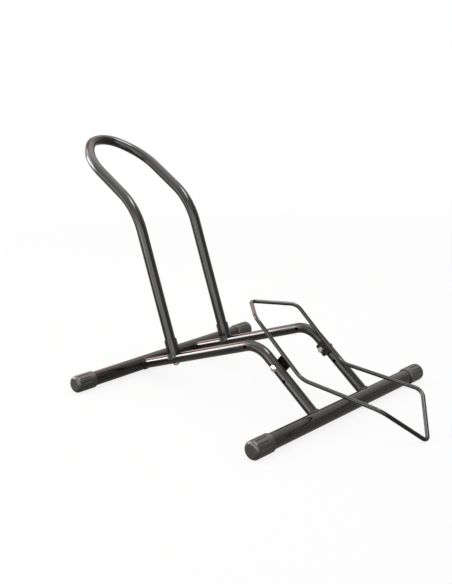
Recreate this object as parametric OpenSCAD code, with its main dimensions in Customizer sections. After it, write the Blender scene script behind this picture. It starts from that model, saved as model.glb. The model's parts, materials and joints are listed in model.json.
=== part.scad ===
// Floor bike rack. Two crossbars with rubber end caps stand on the floor, and two bent rails
// join them. A tall hoop plugs into sockets on the rails and holds the wheel upright, and a
// bent wire cradle rocks on two bolts and takes the front of the tyre.
// Millimetres. X runs from the rear crossbar to the front one, Y to the left, Z up.
// The origin is on the floor, under the middle of the part's outline.

/* [Overall] */
// Width over the end caps
overall_width = 410; // [340:5:520]
// Height to the top of the hoop
overall_height = 380; // [360:5:430]
// Distance between the axes of the two crossbars
bar_spacing = 366; // [340:2:400]
// Clear gap for the wheel between the hoop's legs
wheel_gap = 105; // [95:1:125]

/* [Crossbars] */
// Outer diameter of the crossbar tube
bar_d = 23; // [19:0.5:25]
// Wall of the crossbar tube
bar_wall = 1.5; // [1:0.1:2.5]

/* [End caps] */
// Outer diameter of an end cap
cap_d = 27; // [26:0.5:32]
// Length of an end cap
cap_length = 37; // [32:1:60]
// Thickness of a cap's closed end
cap_end = 4; // [2.5:0.5:6]
// Radius round a cap's closed end
cap_round = 5; // [2:0.5:6]
// Length of the smooth collar at a cap's mouth
cap_collar = 9; // [5:0.5:12]
// Chamfer round a cap's mouth
cap_chamfer = 1.4; // [0.5:0.1:1.5]
// Grip grooves round a cap
groove_count = 12; // [8:1:18]
// Width of a grip groove's cutter
groove_w = 3; // [2:0.2:4]
// Share of a cap's wall that a grip groove cuts away
groove_share = 0.6; // [0.3:0.05:0.7]

/* [Rails] */
// Outer diameter of the rail tube
rail_d = 16; // [14:0.5:18]
// Wall of the rail tube
rail_wall = 1.5; // [1:0.1:2.5]
// Slope of a rail behind its bend, in degrees
rail_rise = 19.4; // [16:0.2:22]
// Slope of a rail in front of its bend, in degrees
rail_fall = 38.2; // [34:0.2:44]
// Radius of a rail's bend
rail_bend = 45; // [35:1:60]
// How far a rail meets the rear crossbar below that bar's axis
rear_drop = 2.7; // [0:0.1:4]
// How far a rail meets the front crossbar below that bar's axis
front_drop = 0.5; // [0:0.1:2]
// Diameter of the bolt holes through a rail
hole_d = 5.5; // [5.3:0.1:6.5]
// Distance along the rail from its bend's start to the upper spare hole
upper_hole_past = 4.6; // [4:0.2:20]
// Distance along the rail from its bend's end to the cradle's bolt
pivot_past = 20.4; // [12:0.2:30]
// Distance from the cradle's bolt down to the lower spare hole
hole_step = 25; // [15:1:35]

/* [Welds] */
// Width of the weld beads at the rails' ends and the sockets' feet
weld_w = 1.6; // [0.8:0.1:2]

/* [Wheel hoop] */
// Outer diameter of the hoop tube
hoop_d = 17; // [14:0.5:18]
// Wall of the hoop tube
hoop_wall = 1.3; // [1:0.1:2]
// Place of a leg, measured along the rail
leg_at = 83.4; // [70:0.2:110]
// Length of a leg, from the rail's axis to the corner of the hoop's crook
leg_length = 250.4; // [225:0.2:255]
// Radius of the crook above each leg
crook_bend = 110; // [80:1:120]
// Lean of the hoop above its crook, in degrees from upright
top_lean = 58.4; // [50:0.2:62]
// Turn of the arch's side bends, in degrees
side_turn = 43; // [40:0.5:50]
// Radius of the bend at the arch's top
top_bend = 45; // [35:1:50]

/* [Sockets] */
// Wall of a socket
socket_wall = 1.5; // [1:0.1:2.5]
// Top of a socket, measured from the rail's axis
socket_top = 32; // [26:1:45]
// Clearance round a leg in its socket
socket_fit = 0.2; // [0.1:0.05:0.4]

/* [Hoop bolts] */
// Shank diameter of a hoop bolt
hoop_bolt_d = 6; // [5:0.5:7]
// Head diameter of a hoop bolt
hoop_head_d = 11.5; // [10:0.5:13]
// Head height of a hoop bolt
hoop_head_h = 3.3; // [2.5:0.1:4]
// Hexagon key size of a hoop bolt
hoop_key = 4; // [3:0.5:5]
// Length of the threaded plug in a leg's end
plug_length = 15; // [10:1:24]

/* [Cradle wire] */
// Diameter of the cradle wire
wire_d = 6; // [5:0.2:7]
// Distance between the axes of the cradle's two arms
arm_spacing = 98; // [94:1:100]
// Distance between the wire's axes at the nose bends
nose_spacing = 106; // [98:1:112]
// Distance from the rocking axis out to the axis of an arm
arm_offset = 14; // [11:0.5:18]
// Length of an arm behind the rocking axis
arm_back = 79.5; // [65:0.5:95]
// Length of an arm in front of the rocking axis
arm_front = 36; // [30:0.5:50]
// Length from an arm's rear end back to the rear corner
back_run = 52; // [40:1:65]
// Turn between an arm and the rear corner, in degrees
back_turn = 34.6; // [25:0.2:45]
// Length from an arm's front end on to the nose bends
front_run = 137; // [115:1:150]
// Turn between an arm and its front run, in degrees
front_turn = 36.6; // [30:0.2:42]
// Length from the nose bends down to the front corner
nose_run = 65; // [55:1:75]
// Turn between the front run and the nose, in degrees
nose_turn = 44.6; // [35:0.2:50]
// Radius of the rear and front corners
corner_bend = 8; // [6:0.5:12]
// Radius of the bends at the arms' rear ends
back_bend = 20; // [12:1:26]
// Radius of the bends at the arms' front ends
front_bend = 40; // [20:1:60]
// Radius of the nose bends
nose_bend = 22; // [12:1:30]

/* [Cradle plates] */
// Thickness of a plate
plate_t = 3; // [2:0.5:4]
// Length of a plate along its arm
plate_length = 21; // [16:1:28]
// Distance from the rocking axis to the plate's free edge
plate_edge = 5.5; // [5:0.5:9]
// Radius of the plate's free corners
plate_round = 2.5; // [1:0.5:4]

/* [Cradle bolts] */
// Shank diameter of a cradle bolt
pivot_d = 5; // [4:0.1:5.2]
// Head diameter of a cradle bolt
pivot_head_d = 10.5; // [9:0.5:12]
// Head height of a cradle bolt
pivot_head_h = 3; // [2.2:0.1:4]
// Hexagon key size of a cradle bolt
pivot_key = 3; // [2.5:0.5:4]
// Outer diameter of the spacer between a rail and a plate
spacer_d = 9; // [8:0.5:12]
// Size of a lock nut across its flats
nut_flats = 8; // [7:0.5:10]
// Height of a lock nut
nut_h = 5; // [4:0.5:6]
// Height of a lock nut's round collar
nut_collar = 1.5; // [1:0.1:2]
// Length of thread that shows past a lock nut
thread_end = 1; // [0.5:0.5:3]

/* [Hidden] */
$fn = 64;

// Fits and small gaps
overrun = 1;        // how far a cutter runs past what it cuts
weld_gap = 0.2;     // gap that a weld bead fills
seat_gap = 0.15;    // gap under a bolt's head and round a pressed part
leg_gap = 0.3;      // gap between a leg's end and the rail
seam = 0.4;         // length of a seam between a straight and a bend
band = 0.02;        // height of the hairline band over a seam
pivot_fit = 0.08;   // radial running clearance of a plate on its bolt
side_play = 0.2;    // gap on each face of a rocking plate
floor_gap = 0.3;    // gap under the cradle's front corner at rest

// Heights and places shared by several pieces
bar_z = cap_d / 2;
half_gap = (wheel_gap + hoop_d) / 2;
rail_top = rail_d / 2;
groove_depth = groove_share * (cap_d / 2 - bar_d / 2 - seat_gap);

// A rail's side view: points are [x, z], and distances run from the rear crossbar's axis
rail_rear = [0, bar_z - rear_drop];
rail_front = [bar_spacing, bar_z - front_drop];
knee_x = (rail_front.y - rail_rear.y + bar_spacing * tan(rail_fall))
    / (tan(rail_rise) + tan(rail_fall));
rail_knee = rail_rear + knee_x * [1, tan(rail_rise)];
rail_turn = rail_rise + rail_fall;
rail_tangent = rail_bend * tan(rail_turn / 2);
rear_line = norm(rail_knee - rail_rear) - rail_tangent;
rail_arc = rail_bend * rail_turn * PI / 180;
upper_hole_at = rear_line + upper_hole_past;
pivot_at = rear_line + rail_arc + pivot_past;

function along(a) = [cos(a), sin(a)];
function rail_in_bend(s) = rail_rear + rear_line * along(rail_rise)
    + rail_bend * (along(rail_rise - 90) - along(rail_rise - 90 - s / rail_bend * 180 / PI));
function rail_at(s) = s < rear_line ? rail_rear + s * along(rail_rise)
    : s < rear_line + rail_arc ? rail_in_bend(s - rear_line)
    : rail_knee + (s - rear_line - rail_arc + rail_tangent) * along(-rail_fall);
function lift(p, y) = [p.x, y, p.y];

pivot = rail_at(pivot_at);
leg_foot = rail_at(leg_at);

// The hoop: its legs stand square to the rails, and its arch lies in the plane above the crook
leg_way = along(90 + rail_rise);
top_way = along(90 + top_lean);
crook = leg_foot + leg_length * leg_way;
arch_run = (overall_height - hoop_d / 2 - crook.y) / cos(top_lean);
top_turn = 180 - 2 * side_turn;
side_tangent = half_gap / sin(side_turn) - top_bend * tan(top_turn / 2);
side_bend = side_tangent / tan(side_turn / 2);
top_corner = arch_run + top_bend * (1 / cos(top_turn / 2) - 1);
side_corner = top_corner - half_gap / tan(side_turn);
leg_end = rail_top + leg_gap;
hoop_points = [
    lift(leg_foot + leg_end * leg_way, -half_gap),
    lift(crook, -half_gap),
    lift(crook + side_corner * top_way, -half_gap),
    lift(crook + top_corner * top_way, 0),
    lift(crook + side_corner * top_way, half_gap),
    lift(crook, half_gap),
    lift(leg_foot + leg_end * leg_way, half_gap)];
hoop_bends = [0, crook_bend, side_bend, top_bend, side_bend, crook_bend, 0];

// The cradle's side view: the rocking axis is at zero, and the arms run along its first axis
arm_rear = [-arm_back, arm_offset];
arm_toe = [arm_front, arm_offset];
rear_corner = arm_rear - back_run * along(back_turn);
nose = arm_toe + front_run * along(front_turn);
front_corner = nose + nose_run * along(front_turn - nose_turn);
nose_half_angle = atan(nose_spacing / 2 / nose_run);
tip = front_corner
    - corner_bend * (1 / sin(nose_half_angle) - 1) * along(front_turn - nose_turn);
// At rest the cradle tips forward until its front corner lies on the floor
rest_tilt = atan2(tip.y, tip.x)
    - asin((wire_d / 2 + floor_gap - pivot.y) / norm(tip));
function in_cradle_at(p) = pivot
    + [p.x * cos(rest_tilt) + p.y * sin(rest_tilt), p.y * cos(rest_tilt) - p.x * sin(rest_tilt)];
function wire_point(p, y) = lift(in_cradle_at(p), y);
half_arm = arm_spacing / 2;
half_nose = nose_spacing / 2;
wire_points = [
    wire_point(rear_corner, 0),
    wire_point(arm_rear, -half_arm),
    wire_point(arm_toe, -half_arm),
    wire_point(nose, -half_nose),
    wire_point(front_corner, 0),
    wire_point(nose, half_nose),
    wire_point(arm_toe, half_arm),
    wire_point(arm_rear, half_arm)];
wire_bends = [corner_bend, back_bend, front_bend, nose_bend,
    corner_bend, nose_bend, front_bend, back_bend];

// Outline of the whole part along X, which sets the origin
rear_end = crook.x + arch_run * top_way.x - hoop_d / 2;
front_end = in_cradle_at(tip).x + wire_d / 2;
middle = (rear_end + front_end) / 2;

// The bolt stack at a pivot, along Y from the middle outwards
plate_in = half_arm - plate_t / 2;
plate_out = half_arm + plate_t / 2;
rail_in = half_gap - rail_d / 2;
rail_out = half_gap + rail_d / 2;
nut_out = plate_in - side_play;

// Moves a piece from the crossbar layout to the part's origin
module place() translate([-middle, 0, 0]) children();

// Turns a piece that is drawn for the left side to the side that is asked for
module on_side(side) mirror([0, side < 0 ? 1 : 0, 0]) children();

// Tube paths: true straights and true bends, each bend tangent to the straights beside it
function unit(v) = v / norm(v);
function turn_at(p, q, r) = acos(unit(q - p) * unit(r - q));
function cut_back(p, q, r, bend) = bend == 0 ? 0 : bend * tan(turn_at(p, q, r) / 2);

module straight(p, q, d) {
    way = unit(q - p);
    side = unit(cross(abs(way.y) < 0.9 ? [0, 1, 0] : [0, 0, 1], way));
    up = cross(way, side);
    multmatrix([[side.x, up.x, way.x, p.x], [side.y, up.y, way.y, p.y],
            [side.z, up.z, way.z, p.z], [0, 0, 0, 1]])
        cylinder(h = norm(q - p), d = d);
}

module bend(p, q, r, radius, d) {
    way = unit(q - p);
    turn = turn_at(p, q, r);
    normal = unit(cross(way, unit(r - q)));
    out = cross(way, normal);
    centre = q - way * radius * tan(turn / 2) - out * radius;
    multmatrix([[out.x, way.x, normal.x, centre.x], [out.y, way.y, normal.y, centre.y],
            [out.z, way.z, normal.z, centre.z], [0, 0, 0, 1]])
        rotate_extrude(angle = turn) translate([radius, 0]) circle(d = d);
}

// Draws a round bar of diameter d through the points, with a bend radius at each of them. A
// straight stops just short of its bends, and a hairline band closes each of those seams.
module path(points, bends, d, closed = false) {
    n = len(points);
    backs = [for (i = [0:n - 1]) cut_back(points[(i + n - 1) % n], points[i],
        points[(i + 1) % n], bends[i])];
    for (i = [0:closed ? n - 1 : n - 2]) {
        p = points[i];
        q = points[(i + 1) % n];
        way = unit(q - p);
        first = p + way * backs[i];
        last = q - way * backs[(i + 1) % n];
        straight(backs[i] == 0 ? first : first + way * seam / 2,
            backs[(i + 1) % n] == 0 ? last : last - way * seam / 2, d);
        if (backs[i] > 0) straight(first - way * seam / 2, first + way * seam, d + 2 * band);
        if (backs[(i + 1) % n] > 0) straight(last - way * seam, last + way * seam / 2, d + 2 * band);
    }
    for (i = [closed ? 0 : 1:closed ? n - 1 : n - 2])
        bend(points[(i + n - 1) % n], points[i], points[(i + 1) % n], bends[i], d);
}

// A path whose open ends are drawn out by a length, for the bore of a tube
function drawn_out(points, by) = let (n = len(points))
    [for (i = [0:n - 1]) i == 0 ? points[0] + by * unit(points[0] - points[1])
        : i == n - 1 ? points[i] + by * unit(points[i] - points[i - 1]) : points[i]];

module tube(points, bends, d, wall) difference() {
    path(points, bends, d);
    path(drawn_out(points, overrun), bends, d - 2 * wall);
}

// A rod along Y between two places
module cross_rod(y0, y1, d, fn = $fn) translate([0, y0, 0]) rotate([-90, 0, 0])
    cylinder(h = y1 - y0, d = d, $fn = fn);

// A place on a rail, and a place with its Z axis along the hoop's leg
module at_rail(s, y = 0) translate(lift(rail_at(s), y)) children();
module on_leg() translate(lift(leg_foot, half_gap)) rotate([0, -rail_rise, 0]) children();

// A round head: the cap of a ball, seated at zero and standing up along Z, with a hexagon key
module round_head(d, h, key) difference() {
    ball = (d * d / 4 + h * h) / (2 * h);
    rotate_extrude() intersection() {
        translate([0, h - ball]) circle(ball, $fn = 128);
        square([d / 2, h]);
    }
    translate([0, 0, h / 3]) cylinder(h = h, d = key / cos(30), $fn = 6);
}

module crossbar(x) translate([x, 0, bar_z]) difference() {
    half = overall_width / 2 - cap_end - seat_gap;
    cross_rod(-half, half, bar_d);
    cross_rod(-half - overrun, half + overrun, bar_d - 2 * bar_wall);
}

// Cap: a cup with a rounded end, and grooves with round ends between its shoulder and its collar
module cap_profile() difference() {
    r = cap_d / 2;
    union() {
        translate([0, cap_round]) square([r, cap_length - cap_round]);
        square([r - cap_round, cap_length / 2]);
        translate([r - cap_round, cap_round]) circle(cap_round);
    }
    translate([0, cap_end]) square([bar_d / 2 + seat_gap, cap_length]);
    polygon([[r - cap_chamfer, cap_length], [r, cap_length - cap_chamfer],
        [r + overrun, cap_length - cap_chamfer], [r + overrun, cap_length + overrun],
        [r - cap_chamfer, cap_length + overrun]]);
}

module groove() {
    first = cap_round + groove_w / 2;
    last = cap_length - cap_collar - groove_w / 2;
    translate([cap_d / 2 + groove_w / 2 - groove_depth, 0, first]) {
        cylinder(h = last - first, d = groove_w);
        for (z = [0, last - first]) translate([0, 0, z]) sphere(d = groove_w);
    }
}

module cap(x, side) on_side(side) translate([x, overall_width / 2, bar_z]) rotate([90, 0, 0])
    difference() {
        rotate_extrude() cap_profile();
        for (i = [0:groove_count - 1]) rotate(360 * (i + 0.5) / groove_count) groove();
    }

// Weld bead: what lies within a bead's width of both tubes, from the point p on towards q
module weld(p, q, d, x) intersection() {
    straight(p + overrun * unit(q - p), q, d + 2 * weld_w);
    translate([x, p.y, bar_z]) cross_rod(-d, d, bar_d + 2 * weld_gap + 2 * weld_w);
}

// Rail: its ends are coped round the crossbars and welded, and it is drilled for the bolts
module rail(side) difference() {
    y = side * half_gap;
    points = [lift(rail_rear, y), lift(rail_knee, y), lift(rail_front, y)];
    bends = [0, rail_bend, 0];
    union() {
        path(points, bends, rail_d);
        weld(points[0], points[1], rail_d, 0);
        weld(points[2], points[1], rail_d, bar_spacing);
    }
    path(drawn_out(points, overrun), bends, rail_d - 2 * rail_wall);
    for (x = [0, bar_spacing]) translate([x, y, bar_z])
        cross_rod(-bar_d, bar_d, bar_d + 2 * weld_gap);
    for (s = [upper_hole_at, pivot_at, pivot_at + hole_step]) at_rail(s, y)
        cross_rod(-rail_top - overrun, rail_top + overrun, hole_d);
    on_side(side) on_leg() cylinder(h = rail_d + 2 * overrun, d = hoop_bolt_d + 2 * socket_fit,
        center = true);
}

// Socket: a sleeve coped onto the rail at its foot, with a weld bead before and behind it
module socket(side) on_side(side) difference() {
    inner = hoop_d + 2 * socket_fit;
    outer = inner + 2 * socket_wall;
    seat = rail_d + 2 * weld_gap;
    union() {
        on_leg() cylinder(h = socket_top, d = outer);
        intersection() {
            on_leg() translate([0, 0, overrun])
                cylinder(h = socket_top - 2 * overrun, d = outer + 2 * weld_w);
            straight(lift(rail_rear, half_gap), lift(rail_knee, half_gap), seat + 2 * weld_w);
        }
    }
    on_leg() translate([0, 0, -overrun]) cylinder(h = socket_top + 2 * overrun, d = inner);
    straight(lift(rail_rear, half_gap), lift(rail_knee, half_gap), seat);
}

// The hoop bolt comes up through the rail into the threaded plug in the leg's end
module hoop_bolt(side) on_side(side) on_leg() {
    seat = rail_top + seat_gap;
    translate([0, 0, -seat]) {
        cylinder(h = seat + leg_end + plug_length, d = hoop_bolt_d);
        mirror([0, 0, 1]) round_head(hoop_head_d, hoop_head_h, hoop_key);
    }
}

module leg_plug(side) on_side(side) on_leg() translate([0, 0, leg_end]) difference() {
    cylinder(h = plug_length, d = hoop_d - 2 * hoop_wall - 2 * seat_gap);
    translate([0, 0, -overrun])
        cylinder(h = plug_length + 2 * overrun, d = hoop_bolt_d + 2 * seat_gap);
}

// Places what is drawn in the cradle's side view, [x, y] there, with its thickness along Y
module in_cradle(y) translate(lift(pivot, y)) rotate([90, rest_tilt, 0]) children();

module plate_outline() {
    half = plate_length / 2;
    translate([-half, plate_round - plate_edge])
        square([plate_length, arm_offset + plate_edge - plate_round]);
    translate([plate_round - half, -plate_edge])
        square([plate_length - 2 * plate_round, plate_round + plate_edge]);
    for (x = [plate_round - half, half - plate_round]) translate([x, plate_round - plate_edge])
        circle(plate_round);
}

// Plate: welded edge-on under its arm, with the bore that rocks on the bolt
module cradle_plate(side) difference() {
    y = side * half_arm;
    in_cradle(y) linear_extrude(plate_t, center = true) difference() {
        plate_outline();
        circle(d = pivot_d + 2 * pivot_fit);
    }
    straight(wire_point(arm_rear, y), wire_point(arm_toe, y), wire_d + 2 * weld_gap);
}

module pivot_bolt(side) on_side(side) at_rail(pivot_at) {
    cross_rod(nut_out - nut_h - thread_end, rail_out + seat_gap, pivot_d);
    translate([0, rail_out + seat_gap, 0]) rotate([-90, 0, 0])
        round_head(pivot_head_d, pivot_head_h, pivot_key);
}

module pivot_spacer(side) on_side(side) at_rail(pivot_at) difference() {
    cross_rod(plate_out + side_play, rail_in - seat_gap, spacer_d);
    cross_rod(plate_out, rail_in, pivot_d + 2 * seat_gap);
}

// Lock nut: a hexagon with chamfered corners and a round collar on its free side
module pivot_nut(side) on_side(side) at_rail(pivot_at) difference() {
    corners = nut_flats / cos(30);
    hexagon = nut_h - nut_collar;
    translate([0, nut_out, 0]) rotate([90, rest_tilt, 0]) {
        intersection() {
            cylinder(h = hexagon, d = corners, $fn = 6);
            cylinder(h = hexagon, d1 = corners + nut_collar, d2 = nut_flats);
        }
        cylinder(h = nut_h, d = nut_flats - 2 * seat_gap);
    }
    cross_rod(nut_out - nut_h - overrun, nut_out + overrun, pivot_d + 2 * seat_gap);
}

steel_black = [0.09, 0.09, 0.09];
rubber_grey = [0.2, 0.2, 0.2];
zinc = [0.75, 0.75, 0.76];

module rear_crossbar() color(steel_black) place() crossbar(0);
module front_crossbar() color(steel_black) place() crossbar(bar_spacing);
module left_rail() color(steel_black) place() rail(1);
module right_rail() color(steel_black) place() rail(-1);
module left_socket() color(steel_black) place() socket(1);
module right_socket() color(steel_black) place() socket(-1);
module wheel_hoop() color(steel_black) place() tube(hoop_points, hoop_bends, hoop_d, hoop_wall);
module rear_left_cap() color(rubber_grey) place() cap(0, 1);
module rear_right_cap() color(rubber_grey) place() cap(0, -1);
module front_left_cap() color(rubber_grey) place() cap(bar_spacing, 1);
module front_right_cap() color(rubber_grey) place() cap(bar_spacing, -1);
module left_hoop_bolt() color(zinc) place() hoop_bolt(1);
module right_hoop_bolt() color(zinc) place() hoop_bolt(-1);
module left_leg_plug() color(zinc) place() leg_plug(1);
module right_leg_plug() color(zinc) place() leg_plug(-1);
module cradle_wire() color(steel_black) place() path(wire_points, wire_bends, wire_d, true);
module left_cradle_plate() color(steel_black) place() cradle_plate(1);
module right_cradle_plate() color(steel_black) place() cradle_plate(-1);
module left_pivot_bolt() color(zinc) place() pivot_bolt(1);
module right_pivot_bolt() color(zinc) place() pivot_bolt(-1);
module left_pivot_spacer() color(steel_black) place() pivot_spacer(1);
module right_pivot_spacer() color(steel_black) place() pivot_spacer(-1);
module left_pivot_nut() color(zinc) place() pivot_nut(1);
module right_pivot_nut() color(zinc) place() pivot_nut(-1);

rear_crossbar();
front_crossbar();
left_rail();
right_rail();
left_socket();
right_socket();
wheel_hoop();
rear_left_cap();
rear_right_cap();
front_left_cap();
front_right_cap();
left_hoop_bolt();
right_hoop_bolt();
left_leg_plug();
right_leg_plug();
cradle_wire();
left_cradle_plate();
right_cradle_plate();
left_pivot_bolt();
right_pivot_bolt();
left_pivot_spacer();
right_pivot_spacer();
left_pivot_nut();
right_pivot_nut();
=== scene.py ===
import json
import math

import bpy
from mathutils import Matrix, Vector


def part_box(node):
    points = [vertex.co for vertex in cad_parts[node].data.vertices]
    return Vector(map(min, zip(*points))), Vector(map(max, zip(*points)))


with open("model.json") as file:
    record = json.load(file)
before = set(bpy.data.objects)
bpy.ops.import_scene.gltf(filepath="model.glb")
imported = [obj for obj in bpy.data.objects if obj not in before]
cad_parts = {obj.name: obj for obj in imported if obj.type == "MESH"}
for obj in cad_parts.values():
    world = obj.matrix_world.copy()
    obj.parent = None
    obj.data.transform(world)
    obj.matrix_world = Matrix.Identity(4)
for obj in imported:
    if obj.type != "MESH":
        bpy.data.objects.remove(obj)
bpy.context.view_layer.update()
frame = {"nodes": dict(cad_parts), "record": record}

nodes = frame["nodes"]
print("frame loaded:", len(nodes), "nodes")


# Shader maths: a wrapped output socket, so that sums are written as Python
class Signal:
    def __init__(self, shading, socket):
        self.shading, self.socket = shading, socket

    def math(self, operation, *values):
        return self.shading.add("ShaderNodeMath", {"operation": operation}, dict(enumerate(values)))

    def __add__(self, other):
        return self.math("ADD", self, other)

    def __radd__(self, other):
        return self.math("ADD", other, self)

    def __sub__(self, other):
        return self.math("SUBTRACT", self, other)

    def __rsub__(self, other):
        return self.math("SUBTRACT", other, self)

    def __mul__(self, other):
        return self.math("MULTIPLY", self, other)

    def __rmul__(self, other):
        return self.math("MULTIPLY", other, self)

    def absolute(self):
        return self.math("ABSOLUTE", self)

    def atLeast(self, other):
        return self.math("MAXIMUM", self, other)

    def step(self, low, high):  # 0 below low, 1 above high, smooth between
        return self.shading.add("ShaderNodeMapRange", {"interpolation_type": "SMOOTHSTEP"},
                                {"Value": self, "From Min": low, "From Max": high})


class Shading:  # the nodes of a material or of the world
    def __init__(self, owner):
        owner.use_nodes = True
        self.tree = owner.node_tree

    def set(self, socket, value):
        if isinstance(value, Signal):
            self.tree.links.new(value.socket, socket)
        else:
            socket.default_value = value

    def add(self, kind, settings=None, sockets=None, out=0):
        node = self.tree.nodes.new(kind)
        for name, value in (settings or {}).items():
            setattr(node, name, value)
        for name, value in (sockets or {}).items():
            self.set(node.inputs[name], value)
        return Signal(self, node.outputs[out])

    def backgroundRays(self):  # 1 for the camera's rays, and 1 for those mirrored or seen through glass
        straight, glossy, through = [
            self.add("ShaderNodeLightPath", out="Is %s Ray" % kind)
            for kind in ("Camera", "Glossy", "Transmission")]
        return straight, glossy.atLeast(through)


class Finish(Shading):  # one material, with a Principled shader at its end
    def __init__(self, name, **values):
        self.material = bpy.data.materials.new(name)
        super().__init__(self.material)
        self.shader = self.tree.nodes["Principled BSDF"]
        self.feed(**values)

    def feed(self, **values):
        for name, value in values.items():
            self.set(self.shader.inputs[name.replace("_", " ")], value)

    def show(self, share, first, second):  # the surface shows a mix of two shaders
        mix = self.add("ShaderNodeMixShader", None, {0: share, 1: first, 2: second})
        self.set(self.tree.nodes["Material Output"].inputs["Surface"], mix)

    def place(self, scale=(1, 1, 1), turn=(0, 0, 0)):  # object coordinates in metres, turn in degrees
        where = self.add("ShaderNodeTexCoord", out="Object")
        turned = tuple(math.radians(a) for a in turn)
        return self.add("ShaderNodeMapping", None, {"Vector": where, "Scale": scale, "Rotation": turned})

    def noise(self, width, detail=3, rough=0.5, place=None):  # width of one blotch in metres
        return self.add("ShaderNodeTexNoise", {"noise_dimensions": "3D"}, {
            "Vector": place or self.place(), "Scale": 1 / width, "Detail": detail, "Roughness": rough})

    def blend(self, share, first, second):  # two colours, as tuples or signals
        first, second = [c if isinstance(c, Signal) else (*c, 1) for c in (first, second)]
        sockets = {"Factor": share, 6: first, 7: second}
        return self.add("ShaderNodeMix", {"data_type": "RGBA"}, sockets, out=2)

    def bump(self, height, depth, under=None):  # depth in metres for a height of 1
        sockets = {"Height": height, "Distance": depth, "Strength": 1}
        if under:
            sockets["Normal"] = under
        return self.add("ShaderNodeBump", None, sockets)


# Black gloss paint on the tubes, with orange peel, dust specks and fine scuffs. Widths and depths
# are in metres. An edge is the stretch of the noise over which a mark comes in, and a rough is what
# the mark adds to the roughness
paint = {
    "dark": (0.008, 0.0071, 0.0062),
    "light": (0.014, 0.0126, 0.0112),
    "dust": (0.09, 0.08, 0.07),
    "specular": 0.25,
    "leastRough": 0.08,
    "cloudWidth": 0.04,
    "cloudEdge": (0.35, 0.65),
    "cloudRough": 0.08,
    "speckWidth": 0.0007,
    "speckEdge": (0.29, 0.33),
    "speckRough": 0.25,
    "speckDust": 0.5,
    "scuffWidth": 0.0012,
    "scuffEdge": (0.66, 0.74),
    "scuffScale": (1, 1, 0.08),    # draws the scuffs out to long strokes
    "scuffTurn": (20, 35, 10),
    "scuffRough": 0.16,
    "scuffDust": 0.12,
    "peelWidth": 0.0035,
    "peelDepth": 0.000003,
    "grainWidth": 0.0006,
    "grainDepth": 0.00000036,
}
# The cradle's wire has the same paint, a little darker and smoother
wirePaint = {
    **paint,
    "dark": (0.004, 0.004, 0.0038),
    "light": (0.009, 0.0088, 0.0085),
    "leastRough": 0.06,
}
# Weld beads under the paint, round the rails' ends and the sockets' feet
bead = {
    "stand": 0.0016,       # how far it stands out from the crossbar
    "footReach": 0.0122,   # its reach round the middle of a socket's foot
    "footLift": 0.0045,    # height of that middle over the socket's lowest point
    "fade": 0.0006,
    "rough": 0.45,
    "rippleWidth": 0.0012,
    "rippleDepth": 0.00012,
}


def fromLine(finish, point, way):  # metres from a line, or from a point if way is None
    away = finish.add("ShaderNodeVectorMath", {"operation": "SUBTRACT"}, {0: finish.place(), 1: point})
    if way:
        away = finish.add("ShaderNodeVectorMath", {"operation": "CROSS_PRODUCT"}, {0: away, 1: way})
    return finish.add("ShaderNodeVectorMath", {"operation": "LENGTH"}, {0: away}, out="Value")


def glossPaint(name, look, beads=()):  # a bead is a point, the way of its line or None, and its reach
    finish = Finish(name, Specular_IOR_Level=look["specular"])
    cloud = finish.noise(look["cloudWidth"], detail=4)
    speck = 1 - finish.noise(look["speckWidth"], detail=2).step(*look["speckEdge"])
    strokes = finish.place(look["scuffScale"], look["scuffTurn"])
    scuff = finish.noise(look["scuffWidth"], detail=4, rough=0.6, place=strokes).step(*look["scuffEdge"])
    rough = cloud * look["cloudRough"] + scuff * look["scuffRough"] + speck * look["speckRough"]
    rough = rough + look["leastRough"]
    peel = finish.bump(finish.noise(look["peelWidth"], detail=2), look["peelDepth"])
    for point, way, reach in beads:
        inside = 1 - fromLine(finish, point, way).step(reach, reach + bead["fade"])
        ripple = finish.noise(bead["rippleWidth"], detail=1) * inside
        rough = rough + inside * bead["rough"]
        peel = finish.bump(ripple, bead["rippleDepth"], peel)
    body = finish.blend(cloud.step(*look["cloudEdge"]), look["dark"], look["light"])
    finish.feed(
        Base_Color=finish.blend(speck * look["speckDust"] + scuff * look["scuffDust"], body, look["dust"]),
        Roughness=rough,
        Normal=finish.bump(finish.noise(look["grainWidth"], detail=2), look["grainDepth"], peel),
    )
    return finish.material


def barBeads():  # the beads round the rails' ends, along the axes of the crossbars
    beads = []
    for node in ("rear_crossbar", "front_crossbar"):
        low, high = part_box(node)
        beads.append(((low + high) / 2, (0, 1, 0), (high.z - low.z) / 2 + bead["stand"]))
    return beads


def footBeads():  # the beads at the sockets' feet, round the points where leg and rail meet
    beads = []
    for node in ("left_socket", "right_socket"):
        low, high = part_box(node)
        radius = (high.y - low.y) / 2
        point = (high.x - radius, low.y + radius, low.z + bead["footLift"])
        beads.append((point, None, bead["footReach"]))
    return beads


# Moulded rubber on the end caps, with a matt grain and light and dark clouds
rubber = {
    "dark": (0.009, 0.0078, 0.0062),
    "light": (0.017, 0.015, 0.0123),
    "specular": 0.45,
    "leastRough": 0.24,
    "cloudWidth": 0.012,
    "cloudEdge": (0.3, 0.7),
    "cloudRough": 0.16,
    "grainWidth": 0.00045,
    "grainDepth": 0.00006,
    "grainRough": 0.12,
    "waveWidth": 0.004,
    "waveDepth": 0.00004,
}


def mouldedRubber():
    finish = Finish("mouldedRubber", Specular_IOR_Level=rubber["specular"])
    cloud = finish.noise(rubber["cloudWidth"], detail=4)
    grain = finish.noise(rubber["grainWidth"], rough=0.6)
    wave = finish.bump(finish.noise(rubber["waveWidth"], detail=2), rubber["waveDepth"])
    finish.feed(
        Base_Color=finish.blend(cloud.step(*rubber["cloudEdge"]), rubber["dark"], rubber["light"]),
        Roughness=cloud * rubber["cloudRough"] + grain * rubber["grainRough"] + rubber["leastRough"],
        Normal=finish.bump(grain, rubber["grainDepth"], wave),
    )
    return finish.material


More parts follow.
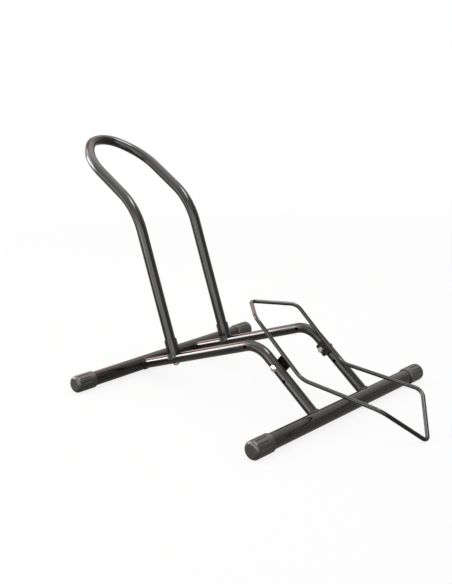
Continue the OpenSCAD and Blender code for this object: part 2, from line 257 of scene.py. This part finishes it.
# Zinc plate on the bolts, nuts and plugs, with faint blotches and fine turning marks
zinc = {
    "bright": (0.40, 0.385, 0.355),
    "dull": (0.25, 0.24, 0.22),
    "leastRough": 0.22,
    "cloudWidth": 0.003,
    "cloudEdge": (0.35, 0.7),
    "cloudRough": 0.18,
    "markWidth": 0.00025,
    "markDepth": 0.000012,
    "markRough": 0.08,
}


def zincPlate():
    finish = Finish("zincPlate", Metallic=1)
    cloud = finish.noise(zinc["cloudWidth"], detail=4)
    marks = finish.noise(zinc["markWidth"], rough=0.6)
    finish.feed(
        Base_Color=finish.blend(cloud.step(*zinc["cloudEdge"]), zinc["bright"], zinc["dull"]),
        Roughness=cloud * zinc["cloudRough"] + marks * zinc["markRough"] + zinc["leastRough"],
        Normal=finish.bump(marks, zinc["markDepth"]),
    )
    return finish.material


# Finishes by the record's slots, and those of the welded pieces by the last word of their names
slotFinishes = {
    "tube_black": glossPaint("tubePaint", paint),
    "wire_black": glossPaint("wirePaint", wirePaint),
    "cap_rubber": mouldedRubber(),
    "zinc_steel": zincPlate(),
}
weldedFinishes = {
    "rail": glossPaint("railPaint", paint, barBeads()),
    "socket": glossPaint("socketPaint", paint, footBeads()),
}
print("materials made")

for part in frame["record"]["subparts"]:
    kind = part["node"].split("_")[-1]
    for slot in nodes[part["node"]].material_slots:
        slot.material = weldedFinishes.get(kind, slotFinishes[part["material_slot"]])
print("nodes dressed")

# The studio: a pale floor, a white surround, soft lamps and cards that the gloss mirrors
studio = {
    "floor": (0.66, 0.61, 0.53),    # colour of the floor, as the rack mirrors it and is lit by it
    "floorSeen": (0.96, 0.96, 0.96),    # its colour for the camera
    "floorSize": 30,
    "floorRough": 0.9,
    "floorSpecular": 0.1,
    "floorGlow": 0.84,     # share of plain white in what the camera sees of the floor
    "glossGlow": 0.2,      # the same share in what the gloss mirrors of the floor close by
    "fadeFrom": 0.9,       # distance at which the floor starts to turn plain white, in metres
    "fadeTo": 2.2,
    "surround": 0.6,       # light that the surround gives
    "aim": (0, 0, 0.12),   # point that the lamps and cards face
}


def paleFloor():
    bpy.ops.object.select_all(action="DESELECT")
    bpy.ops.mesh.primitive_plane_add(size=studio["floorSize"])
    floor = bpy.context.object
    floor.name = "floor"
    finish = Finish("paleFloor", Roughness=studio["floorRough"], Specular_IOR_Level=studio["floorSpecular"])
    away = fromLine(finish, (0, 0, 0), None)
    distant = away.step(studio["fadeFrom"], studio["fadeTo"])
    seen, glossed = [distant * (1 - studio[glow]) + studio[glow] for glow in ("floorGlow", "glossGlow")]
    straight, mirrored = finish.backgroundRays()
    finish.feed(Base_Color=finish.blend(straight, studio["floor"], studio["floorSeen"]))
    white = finish.add("ShaderNodeEmission", None, {"Strength": 1})
    finish.show(straight * seen + mirrored * glossed, Signal(finish, finish.shader.outputs["BSDF"]), white)
    floor.data.materials.append(finish.material)


def surround():  # plain white for the camera and for the gloss, and a weaker light on the rack
    world = bpy.data.worlds.new("studio")
    sky = Shading(world)
    bpy.context.scene.world = world
    background = sky.tree.nodes["Background"].inputs
    straight, mirrored = sky.backgroundRays()
    sky.set(background["Color"], (1, 1, 1, 1))
    sky.set(background["Strength"], (straight + mirrored) * (1 - studio["surround"]) + studio["surround"])


# Lamps give the light, and cards stand round the rack for its gloss to mirror. Both are placed by
# their turn from the camera's own side (plus is to its right) and their rise, in degrees, then by
# distance, width and height in metres. The brightness of the face and its colour follow, and on a
# card the share of it that fades out towards its edges
lamps = {
    "ceilingLamp": (150, 78, 1.7, 2.0, 2.0, 0.8, (1, 0.98, 0.95)),
    "windowLamp": (-100, 25, 2.0, 1.2, 1.0, 2.2, (1, 0.98, 0.97)),
    "cameraLamp": (-13, 30, 2.1, 1.6, 1.2, 0.8, (1, 1, 1)),
}
cards = {
    "keyCard": (-107, 15, 1.9, 1.1, 0.76, 29, (1, 0.97, 0.98), 0.45),
    "keyGlow": (-110, 36, 2.0, 1.5, 1.2, 8, (0.95, 0.97, 1), 0.5),
    "warmCard": (-150, 17, 2.1, 1.5, 1.2, 3.8, (1, 0.62, 0.56), 0.3),
    "hoopCard": (-87, 9, 1.12, 0.45, 0.55, 7.5, (1, 0.97, 0.95), 0.6),
    "nearStrip": (-54, 1, 0.41, 0.22, 0.26, 5.5, (1, 0.95, 0.92), 0.4),
    "leftStrip": (-54, 3, 1.25, 0.72, 0.6, 13, (1, 1, 1), 0.5),
    "cornerCard": (-68, 42, 2.15, 1.5, 2.0, 3.4, (1, 1, 1), 0.4),
    "frontCard": (-12, 16, 2.2, 4.9, 2.2, 5.8, (1, 1, 0.99), 0.5),
    "topCard": (-10, 60, 2.3, 3.6, 1.6, 3.2, (1, 1, 1), 0.4),
    "roofStrip": (80, 75, 1.9, 1.1, 0.55, 30, (1, 1, 1), 0.4),
    "ceilingCard": (-150, 80, 2.1, 3.4, 2.8, 4.8, (1, 1, 0.97), 0.5),
    "backCard": (146, 36, 2.6, 4.2, 1.8, 2.0, (1, 0.92, 0.84), 0.3),
    "backFlag": (178, 2, 2.7, 5.0, 1.2, 0.3, (1, 0.9, 0.8), 0.2),
    "darkCard": (70, 10, 2.7, 4.4, 2.4, 0.85, (0.97, 1, 1), 0.2),
}
shot = {  # the camera's place in metres, its angles in degrees, its lens and sensor in millimetres
    "place": (0.88270, -0.98865, 0.49410),
    "turn": 42.793,
    "rise": 14.455,
    "roll": -0.447,
    "lens": 53.924,
    "sensor": 36,
}


def facingAim(turn, rise, far):  # a place round the aim, and the turn that faces it
    side, lift = math.radians(shot["turn"] - 90 + turn), math.radians(rise)
    way = Vector((math.cos(side) * math.cos(lift), math.sin(side) * math.cos(lift), math.sin(lift)))
    return Vector(studio["aim"]) + way * far, (-way).to_track_quat("-Z", "Y").to_euler()


def lamp(name, turn, rise, far, wide, tall, bright, colour):
    light = bpy.data.lights.new(name, "AREA")
    light.shape, light.size, light.size_y = "RECTANGLE", wide, tall
    light.energy = bright * math.pi * wide * tall    # watts that make the face that bright
    light.color = colour
    holder = bpy.data.objects.new(name, light)
    holder.location, holder.rotation_euler = facingAim(turn, rise, far)
    holder.visible_camera = holder.visible_glossy = False
    bpy.context.scene.collection.objects.link(holder)


def card(name, turn, rise, far, wide, tall, bright, colour, soft):
    bpy.ops.object.select_all(action="DESELECT")
    place, facing = facingAim(turn, rise, far)
    bpy.ops.mesh.primitive_plane_add(size=2, location=place, rotation=facing)    # from -1 to 1
    board = bpy.context.object
    board.name, board.scale = name, (wide / 2, tall / 2, 1)
    finish = Finish(name)
    across = finish.add("ShaderNodeSeparateXYZ", None, {"Vector": finish.place()}, out="X")
    upwards = Signal(finish, across.socket.node.outputs["Y"])
    inside = [1 - side.absolute().step(1 - soft, 1) for side in (across, upwards)]
    clear = finish.add("ShaderNodeBsdfTransparent")
    glow = finish.add("ShaderNodeEmission", None, {"Color": (*colour, 1), "Strength": bright})
    finish.show(inside[0] * inside[1], clear, glow)
    board.data.materials.append(finish.material)
    board.visible_camera = board.visible_diffuse = board.visible_shadow = False


def camera():
    eye = bpy.data.objects.new("camera", bpy.data.cameras.new("camera"))
    eye.data.lens, eye.data.sensor_width = shot["lens"], shot["sensor"]
    eye.matrix_world = (
        Matrix.Translation(shot["place"])
        @ Matrix.Rotation(math.radians(shot["turn"]), 4, "Z")
        @ Matrix.Rotation(math.radians(90 - shot["rise"]), 4, "X")
        @ Matrix.Rotation(math.radians(shot["roll"]), 4, "Z")
    )
    bpy.context.scene.collection.objects.link(eye)
    bpy.context.scene.camera = eye


paleFloor()
surround()
for name, settings in lamps.items():
    lamp(name, *settings)
for name, settings in cards.items():
    card(name, *settings)
camera()
bpy.context.scene.view_settings.view_transform = "Standard"
print("studio set")
